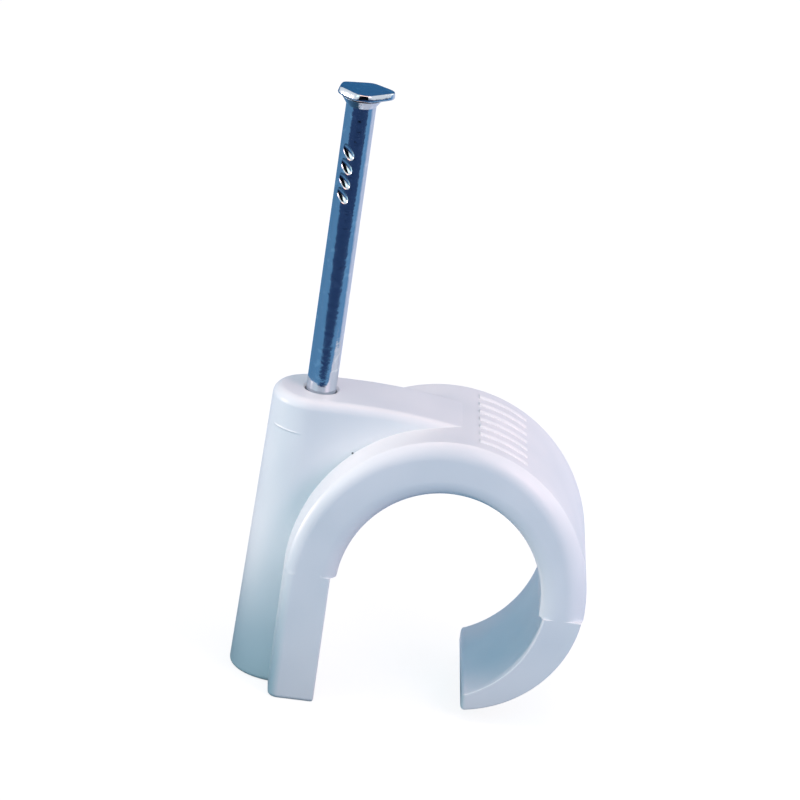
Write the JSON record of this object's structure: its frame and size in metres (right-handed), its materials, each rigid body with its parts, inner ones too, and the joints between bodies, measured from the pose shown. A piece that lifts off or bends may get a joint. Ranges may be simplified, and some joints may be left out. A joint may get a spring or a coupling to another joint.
{
  "type": "nail-in cable clip",
  "caption": "Moulded plastic clip with an open hook-shaped channel for a round cable, and a round wire nail started in the boss beside it.",
  "frame": {"origin": "on the nail's axis, in the wall plane that the leg and the boss stand on", "axes": "+Z out of the wall, up the nail; +X from the nail across the cable channel to the hook; +Y along the cable"},
  "size_m": [0.0315, 0.016, 0.0577],
  "materials": {
    "clip_plastic": "satin cool white, as moulded",
    "nail_steel": "bright zinc plated"
  },
  "bodies": {
    "root": {"clip_body": "clip_plastic", "nail": "nail_steel"}
  },
  "joints": []
}
